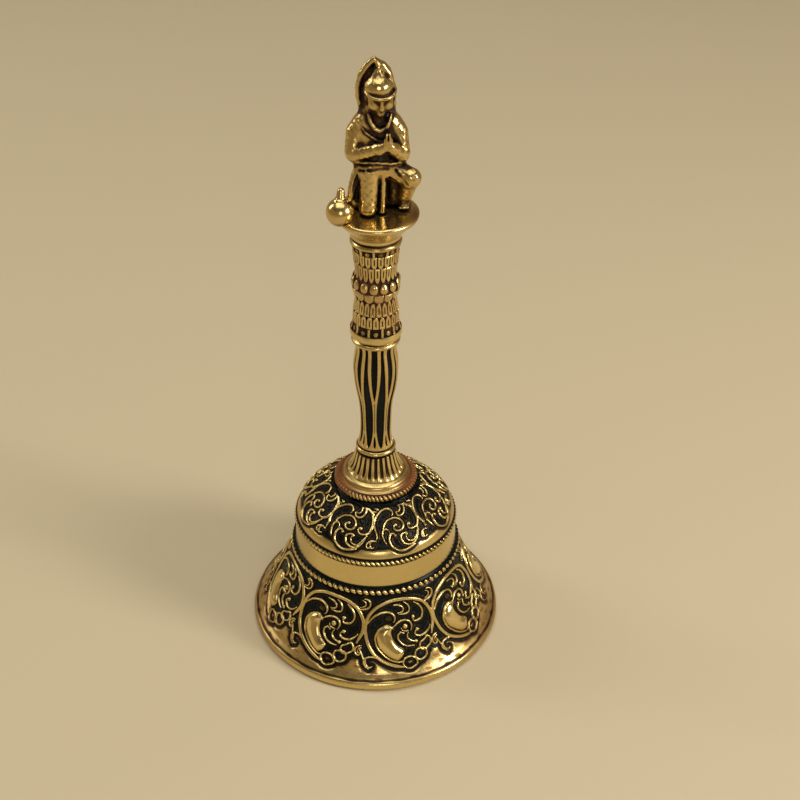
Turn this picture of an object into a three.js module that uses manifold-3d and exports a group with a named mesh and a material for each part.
// Brass hand bell (ghanti) with a cast figurine handle.
// Millimetres, +Z up. The origin is the centre of the ring on which the mouth
// of the bell rests. The figurine faces -Y.
import * as THREE from 'three';
import { mergeVertices } from 'three/addons/utils/BufferGeometryUtils.js';
import Module from 'manifold-3d';

const wasm = await Module();
wasm.setup();

// ---------------------------------------------------------------- dimensions
const RIM_R = 36;            // outer radius of the mouth
const BAND_R = 22.9;         // plain band round the waist
const ROPE_LOW_R = 24.3;     // coarse twisted bead under the band
const ROPE_TOP_R = 23.2;     // fine twisted bead over the band
const WALL = 2.5;            // wall of the cup
const CROWN_Z = 47.6;        // flat top of the crown, under the foot
const FLANGE_R = 11.3;       // milled edge of the handle's foot
const FOOT_Z = [48.0, 58.7]; // handle foot
const COLLAR_A_Z = [59.0, 60.3]; // collar between the foot and the grip
const GRIP_Z = [60.6, 94.2];
const COLLAR_B_Z = [94.5, 95.9]; // collar between the grip and the column
const COLUMN_Z = [96.3, 125.4];
const PLATFORM_Z = [125.9, 132.6];
const PLATFORM_R = 10.7;
const PLATFORM_BORE_Z = 131.2; // blind end of the platform's bore
const FIGURE_Z = 132.9;      // soles of the figurine
const ROD_R = 2.0;           // tie rod
const BORE_R = 2.3;          // bore for the tie rod in each stacked piece
const ROD_TOP_Z = 130.9;     // end of the rod, inside the platform
const HEAD_Z = [41.2, 43.1]; // collar of the tie rod, under the washer
const EYE_WIRE_R = 0.8;      // wire of the hanging eye
const EYE_R = 2.8;           // mean radius of the hanging eye
const EYE_Z = 38.3;          // centre of the hanging eye
const LINK_WIRE_R = 0.7;
const LINK_R = 3.0;
const LINK_Z = EYE_Z - EYE_R + EYE_WIRE_R + LINK_WIRE_R + 0.3 - LINK_R;  // 34.3
const CLAPPER_EYE_R = 2.2;
const CLAPPER_EYE_Z = LINK_Z - LINK_R + EYE_WIRE_R + LINK_WIRE_R + 0.3 - CLAPPER_EYE_R; // 30.9
const CLAPPER_ROD_R = 1.2;
const CLAPPER_BALL_R = 5.6;
const CLAPPER_BALL_Z = 9.4;
const CLAPPER_BORE_R = 1.5;

// ---------------------------------------------------------------- finishes
const brass = (color, roughness = 0.35) =>
  new THREE.MeshStandardMaterial({ color, roughness, metalness: 1.0 });

// ---------------------------------------------------------------- helpers
function clean(g) {
  const c = g.clone();
  c.deleteAttribute('normal');
  c.deleteAttribute('uv');
  return mergeVertices(c, 1e-4);
}
function toSolid(g) {
  const c = clean(g.index ? g.toNonIndexed() : g);
  return new wasm.Manifold(new wasm.Mesh({
    numProp: 3,
    vertProperties: new Float32Array(c.attributes.position.array),
    triVerts: new Uint32Array(c.index.array),
  }));
}
function toGeometry(solid) {
  const m = solid.getMesh();
  const g = new THREE.BufferGeometry();
  g.setAttribute('position', new THREE.BufferAttribute(new Float32Array(m.vertProperties), 3));
  g.setIndex(new THREE.BufferAttribute(new Uint32Array(m.triVerts), 1));
  g.computeVertexNormals();
  return g;
}
// closed profile of [radius, height] pairs turned about +Z
function turned(points, segments) {
  const v = points.map(([r, z]) => new THREE.Vector2(r, z));
  const g = new THREE.LatheGeometry(v, segments);
  g.rotateX(Math.PI / 2);
  return g;
}
function ring(points, segments) {   // profile that closes on itself, away from the axis
  return turned([...points, points[0]], segments);
}
function torus(r, wire, z, plane, tube = 8, around = 20) {
  const g = new THREE.TorusGeometry(r, wire, tube, around);
  if (plane === 'xz') g.rotateX(Math.PI / 2);
  if (plane === 'yz') g.rotateY(Math.PI / 2);
  g.translate(0, 0, z);
  return g;
}
function ball(x, y, z, rx, ry, rz, w = 14, h = 10) {
  const g = new THREE.SphereGeometry(1, w, h);
  g.rotateX(Math.PI / 2);
  g.scale(rx, ry, rz);
  g.translate(x, y, z);
  return g;
}
function limb(a, b, r1, r2, seg = 8) {   // tapered rod with rounded ends
  const A = new THREE.Vector3(...a), B = new THREE.Vector3(...b);
  const L = A.distanceTo(B), pts = [];
  for (let i = 0; i <= 3; i++) {
    const t = -Math.PI / 2 + (Math.PI / 2) * (i / 3);
    pts.push(new THREE.Vector2(Math.max(0, r1 * Math.cos(t)), r1 * Math.sin(t)));
  }
  for (let i = 0; i <= 3; i++) {
    const t = (Math.PI / 2) * (i / 3);
    pts.push(new THREE.Vector2(Math.max(0, r2 * Math.cos(t)), L + r2 * Math.sin(t)));
  }
  pts[0].x = 0; pts[pts.length - 1].x = 0;
  const g = new THREE.LatheGeometry(pts, seg);
  g.applyQuaternion(new THREE.Quaternion().setFromUnitVectors(
    new THREE.Vector3(0, 1, 0), B.clone().sub(A).normalize()));
  g.translate(...a);
  return g;
}
function joined(list) {
  let s = toSolid(list[0]);
  for (const g of list.slice(1)) s = s.add(toSolid(g));
  return s;
}
function node(name, geometry, material) {
  const m = new THREE.Mesh(geometry, material);
  m.name = name;
  return m;
}

const bell = new THREE.Group();

// ---------------------------------------------------------------- bell cup
// Flared skirt with a thick lip, coarse bead, plain band, fine bead and a domed
// crown with a bore for the tie rod.  One casting with a wall of about 2.5 mm.
const outer = [
  [RIM_R - 0.9, 0], [RIM_R, 0.8], [RIM_R, 2.0], [RIM_R - 1.1, 3.1], [33.2, 4.6],
  [29.6, 11.2], [26.4, 18.2], [24.0, 24.6], [ROPE_LOW_R, 25.2], [ROPE_LOW_R, 26.9],
  [BAND_R, 27.5], [BAND_R - 0.2, 34.6], [ROPE_TOP_R, 35.1], [ROPE_TOP_R, 36.2], [22.4, 36.8],
  [21.6, 38.8], [19.6, 41.6], [16.9, 43.9], [11.6, CROWN_Z],
];
const inner = [
  [BORE_R, CROWN_Z - 3.0], [8.6, CROWN_Z - 3.0], [14.6, 41.8], [18.0, 38.6],
  [19.8, 34.6], [20.4, 27.0], [22.6, 20.2], [25.2, 14.6], [29.0, 7.4], [32.2, 1.6], [33.0, 0],
];
bell.add(node('bell_cup', ring([...outer, [BORE_R, CROWN_Z], ...inner], 48), brass(0x9c7a3a, 0.4)));

// ---------------------------------------------------------------- handle stack
// Foot: flat flange with a milled edge, an ogee and a fluted cone.
{
  const p = [
    [BORE_R, FOOT_Z[0]], [10.6, FOOT_Z[0]], [FLANGE_R, FOOT_Z[0] + 0.5], [FLANGE_R, FOOT_Z[0] + 1.6],
    [10.5, FOOT_Z[0] + 2.2], [9.2, FOOT_Z[0] + 2.5], [8.6, FOOT_Z[0] + 3.1], [7.6, FOOT_Z[0] + 4.2],
    [6.6, FOOT_Z[0] + 6.3], [5.9, FOOT_Z[0] + 8.4], [5.3, FOOT_Z[1]], [BORE_R, FOOT_Z[1]],
  ];
  bell.add(node('handle_foot', ring(p, 30), brass(0xb08d45)));
}
bell.add(node('neck_collar', ring([
  [BORE_R, COLLAR_A_Z[0]], [4.9, COLLAR_A_Z[0]], [5.4, 59.4], [5.4, 59.9], [4.9, COLLAR_A_Z[1]], [BORE_R, COLLAR_A_Z[1]],
], 22), brass(0xc4a052)));

// Grip: the baluster that the hand holds.
bell.add(node('grip', ring([
  [BORE_R, GRIP_Z[0]], [4.9, GRIP_Z[0]], [4.7, 61.8], [4.25, 63.4], [4.2, 69.5], [4.35, 72.4],
  [4.6, 75.2], [5.15, 77.5], [5.65, 80.2], [6.0, 83.4], [6.15, 86.8], [5.95, 89.2], [5.4, 91.6],
  [5.25, 93.0], [5.6, GRIP_Z[1]], [BORE_R, GRIP_Z[1]],
], 24), brass(0xa6823c)));
bell.add(node('grip_collar', ring([
  [BORE_R, COLLAR_B_Z[0]], [5.8, COLLAR_B_Z[0]], [6.4, 94.9], [6.4, 95.5], [6.0, COLLAR_B_Z[1]], [BORE_R, COLLAR_B_Z[1]],
], 22), brass(0xc4a052)));

// Column: two rings, two waists and a knop in the middle.
bell.add(node('column', ring([
  [BORE_R, COLUMN_Z[0]], [6.1, COLUMN_Z[0]], [6.75, 97.0], [6.75, 98.6],
  [6.1, 100.4], [5.9, 104.6], [5.15, 108.0], [5.85, 111.2], [5.75, 113.2],
  [5.1, 115.8], [5.85, 119.2], [5.95, 122.6], [6.3, 124.0], [6.2, COLUMN_Z[1]],
  [BORE_R, COLUMN_Z[1]],
], 24), brass(0xa6823c)));

// Platform: thin disc on a cavetto, with a blind threaded bore for the tie rod.
bell.add(node('platform', turned([
  [0, PLATFORM_BORE_Z], [BORE_R, PLATFORM_BORE_Z], [BORE_R, PLATFORM_Z[0]], [6.5, PLATFORM_Z[0]], [6.5, 126.9], [7.1, 127.6], [8.6, 129.3], [10.0, 130.7],
  [PLATFORM_R, 131.4], [PLATFORM_R, 132.2], [10.3, PLATFORM_Z[1]], [0, PLATFORM_Z[1]],
], 32), brass(0xb08d45)));

// Kneeling figurine with joined hands, one casting, soldered to the platform.
{
  const f = joined([
    limb([-1.9, -2.9, 134.7], [-1.7, -0.6, 144.4], 2.1, 3.0),         // kneeling thigh
    limb([-2.1, -2.7, 134.8], [-3.6, 5.4, 134.9], 1.9, 1.8),          // its shin
    limb([2.6, 0.8, 144.2], [8.5, -1.2, 142.2], 3.0, 2.4),            // raised thigh
    limb([8.4, -1.2, 141.8], [6.8, 1.8, 135.2], 2.2, 1.7),            // raised shin
    limb([6.8, 4.4, 134.4], [6.7, 0.6, 134.3], 1.6, 1.4),             // foot
    limb([-3.6, 4.6, 134.8], [5.6, 4.8, 134.8], 1.8, 1.8),            // hem of the cloth
    limb([1.4, 3.6, 135.0], [1.2, 2.8, 145.0], 2.7, 3.6),             // cloth behind
    ball(0.5, 1.4, 145.6, 6.7, 4.6, 4.4, 12, 8),                      // hips
    ball(0.2, 1.6, 151.4, 6.4, 4.3, 6.6, 12, 8),                      // torso
    limb([-4.4, 1.4, 154.9], [5.0, 1.4, 154.9], 2.9, 2.9),            // shoulders
    limb([-5.2, 1.0, 154.2], [-5.5, -0.6, 148.8], 2.5, 2.3),          // upper arms
    limb([5.7, 1.0, 154.2], [6.1, -0.6, 148.8], 2.5, 2.3),
    limb([-5.4, -0.8, 148.0], [2.0, -4.0, 151.8], 2.0, 1.6),          // forearms
    limb([6.2, -0.8, 148.2], [3.4, -4.0, 151.8], 2.0, 1.6),
    limb([2.6, -4.0, 151.4], [3.0, -4.4, 155.2], 1.6, 1.0),           // joined hands
    limb([0.1, 1.0, 156.6], [0.4, 0.4, 160.2], 2.9, 2.9),             // neck and collar
    ball(0.9, -0.5, 163.4, 3.6, 3.8, 4.2, 12, 8),                     // head
    ball(0.0, 1.4, 164.6, 5.1, 3.1, 5.2, 12, 8),                      // hood
    limb([0.0, 0.6, 166.8], [-0.5, 0.8, 171.6], 3.8, 0.8),            // pointed top of the hood
  ]);
  const below = new THREE.BoxGeometry(60, 60, 10);
  below.translate(0, 0, FIGURE_Z - 5);
  bell.add(node('figurine', toGeometry(f.subtract(toSolid(below))), brass(0xb5913f)));
}
// Round mace head beside the knee, resting over the platform's edge.
{
  const m = joined([
    ball(-8.7, -4.4, 134.4, 3.6, 3.6, 3.6, 14, 10),
    limb([-8.7, -4.2, 137.0], [-8.5, -3.6, 139.2], 1.0, 0.8),     // stub of the shaft
  ]);
  const disc = toSolid(turned([[0, 120], [PLATFORM_R + 0.35, 120], [PLATFORM_R + 0.35, PLATFORM_Z[1] + 0.3], [0, PLATFORM_Z[1] + 0.3]], 40));
  const s = m.subtract(disc);
  bell.add(node('mace', toGeometry(s), brass(0xc4a052, 0.3)));
}

// ---------------------------------------------------------------- tie rod and clapper
// The rod runs through the whole stack and screws into the platform. Its collar
// bears on the washer under the crown, and the clapper hangs from its eye.
bell.add(node('crown_washer', ring([
  [BORE_R, 43.4], [6.6, 43.4], [6.8, 43.6], [6.8, 44.1], [6.6, 44.3], [BORE_R, 44.3],
], 22), brass(0x8a6a34, 0.5)));
{
  const shaft = turned([
    [0, 40.6], [2.0, 40.6], [3.4, HEAD_Z[0]], [4.4, HEAD_Z[0] + 0.4], [4.4, HEAD_Z[1]], [ROD_R, HEAD_Z[1]],
    [ROD_R, 130.4], [ROD_R - 0.4, ROD_TOP_Z], [0, ROD_TOP_Z],
  ], 16);
  bell.add(node('tie_rod', toGeometry(joined([shaft, torus(EYE_R, EYE_WIRE_R, EYE_Z, 'xz')])), brass(0x8a6a34, 0.5)));
}
bell.add(node('clapper_link', torus(LINK_R, LINK_WIRE_R, LINK_Z, 'yz'), brass(0x8a6a34, 0.5)));
{
  const top = CLAPPER_EYE_Z - CLAPPER_EYE_R;
  const rod = turned([
    [0, CLAPPER_BALL_Z - CLAPPER_BALL_R - 1.1], [1.5, CLAPPER_BALL_Z - CLAPPER_BALL_R - 1.1],
    [1.9, CLAPPER_BALL_Z - CLAPPER_BALL_R - 0.5],
    [CLAPPER_ROD_R, CLAPPER_BALL_Z - CLAPPER_BALL_R - 0.1], [CLAPPER_ROD_R, top - 0.2], [0, top + 0.3],
  ], 14);
  bell.add(node('clapper_rod', toGeometry(joined([rod, torus(CLAPPER_EYE_R, EYE_WIRE_R, CLAPPER_EYE_Z, 'xz')])), brass(0x8a6a34, 0.5)));
  const s = toSolid(ball(0, 0, CLAPPER_BALL_Z, CLAPPER_BALL_R, CLAPPER_BALL_R, CLAPPER_BALL_R, 20, 12))
    .subtract(toSolid(turned([[0, 0], [CLAPPER_BORE_R, 0], [CLAPPER_BORE_R, 20], [0, 20]], 14)))
    .subtract(toSolid(turned([[0, 0], [2.6, 0], [2.6, CLAPPER_BALL_Z - CLAPPER_BALL_R + 0.4], [0, CLAPPER_BALL_Z - CLAPPER_BALL_R + 0.4]], 14)));
  bell.add(node('clapper_ball', toGeometry(s), brass(0xa6823c)));
}

export default bell;
